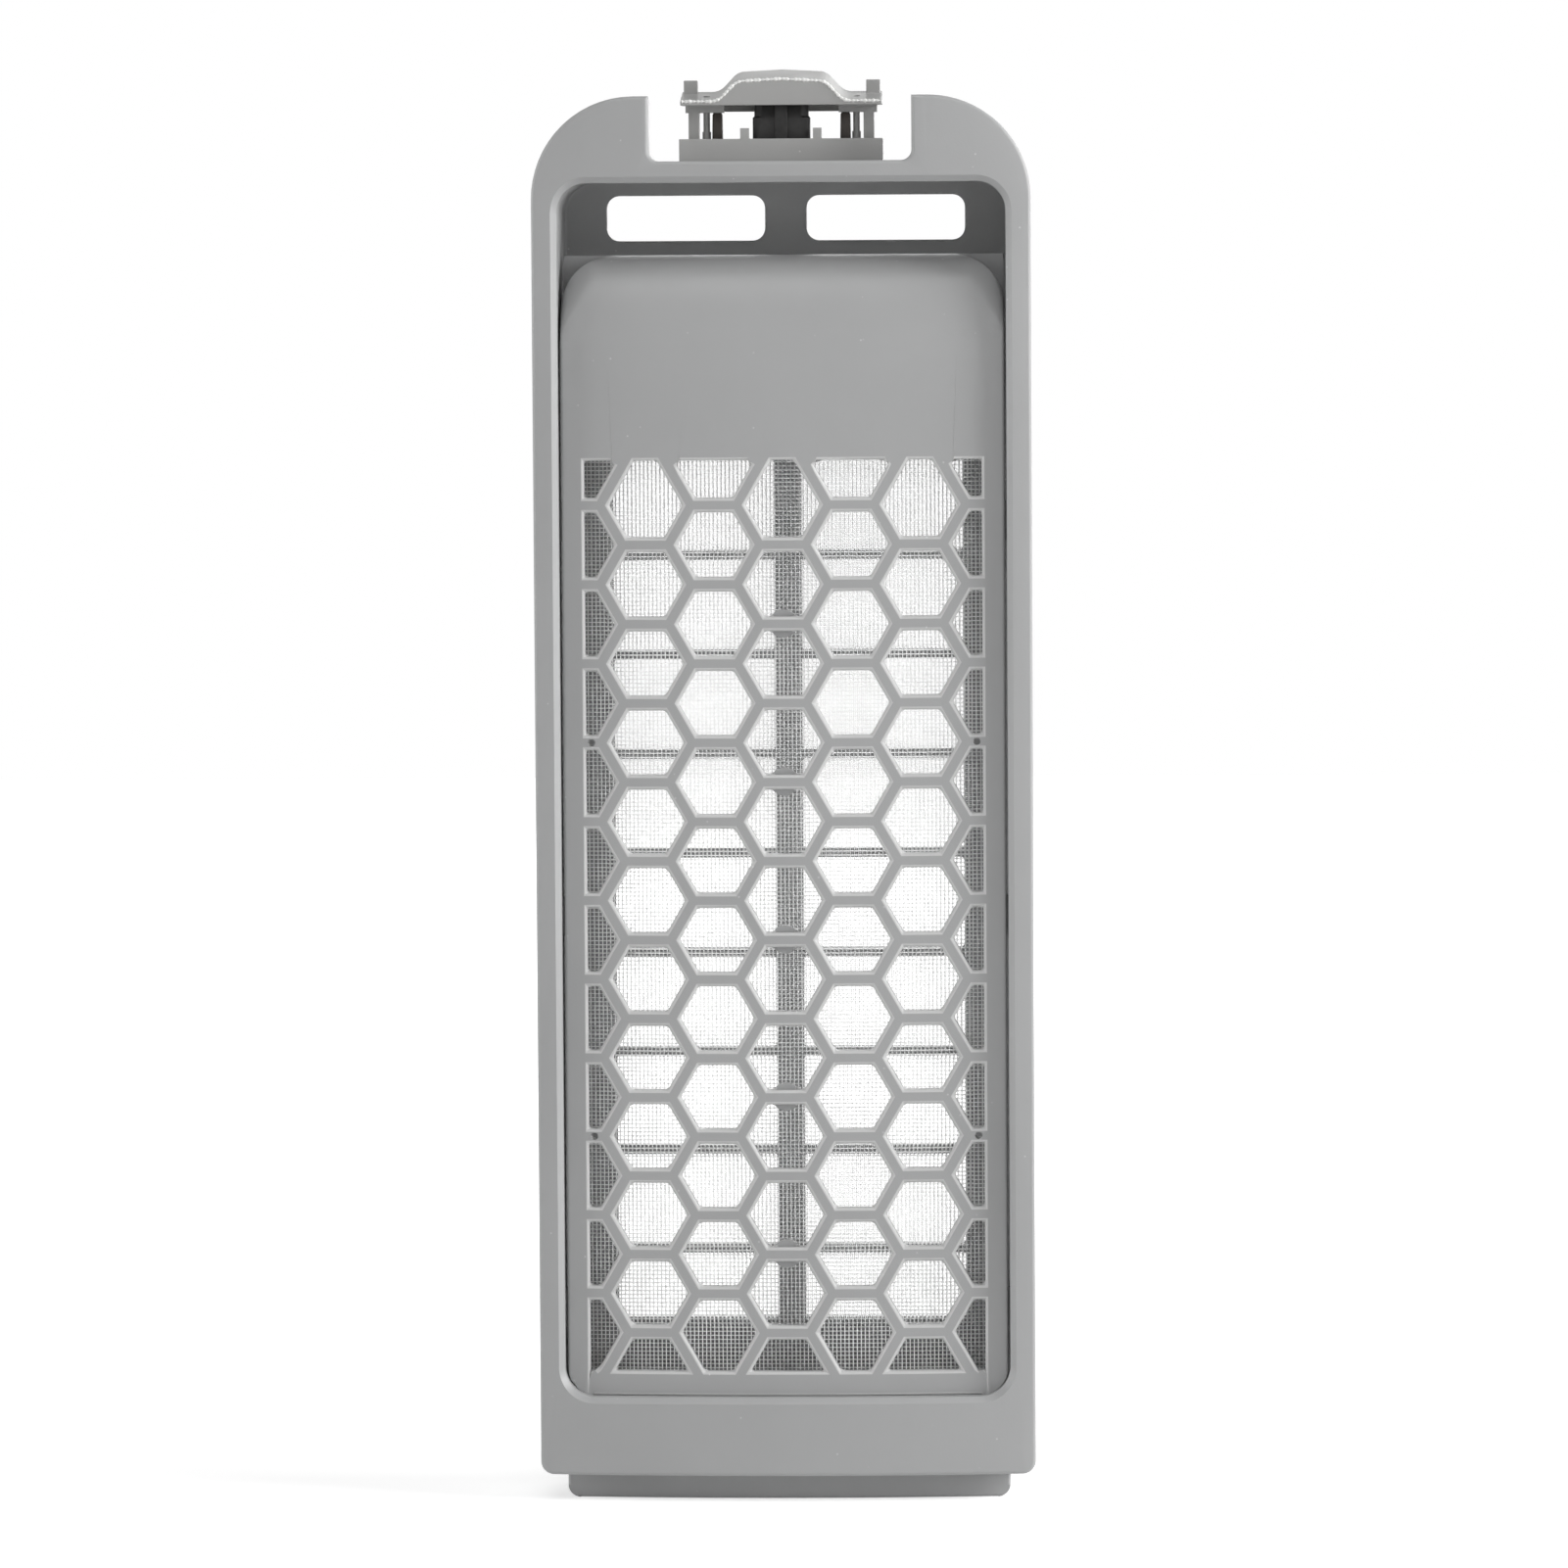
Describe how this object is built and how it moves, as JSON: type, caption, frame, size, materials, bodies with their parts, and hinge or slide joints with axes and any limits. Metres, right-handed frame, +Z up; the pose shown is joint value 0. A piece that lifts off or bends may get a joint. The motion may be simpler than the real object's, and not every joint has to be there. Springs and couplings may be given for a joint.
{
  "type": "lint filter box",
  "caption": "Upright lint filter box for a washing machine: crowned grey frame, honeycomb grille panel with net, hinged vented rear case and a sprung latch button at the top.",
  "frame": {"origin": "middle of the sole of the foot, on the plane of the parting line", "axes": "+Z up, -Y out of the honeycomb front, +X to the right seen from the front"},
  "size_m": [0.0754, 0.0285, 0.2175],
  "materials": {
    "frame_plastic": "fine satin grey",
    "panel_plastic": "fine satin grey",
    "case_plastic": "fine satin grey",
    "latch_plastic": "fine satin grey",
    "nylon_net": "fine clear-white weave",
    "elastomer": "matte black"
  },
  "bodies": {
    "frame": {"front_frame": "frame_plastic", "grille_panel": "panel_plastic", "front_mesh": "nylon_net", "latch_base": "latch_plastic", "return_spring": "elastomer"},
    "case": {"rear_case": "case_plastic", "rear_mesh": "nylon_net"},
    "button": {"latch_button": "latch_plastic"}
  },
  "joints": [
    {"name": "case_hinge", "type": "hinge", "parent": "frame", "child": "case", "pos_m": [0, 0.0095, 0.0122], "axis": [-1, 0, 0], "range_deg": [0, 90]},
    {"name": "button_slide", "type": "slide", "parent": "frame", "child": "button", "axis": [0, 0, -1], "range_m": [0, 0.0025], "stiffness_N_per_m": 600, "springref_m": -0.001, "deforming": ["return_spring"]}
  ]
}
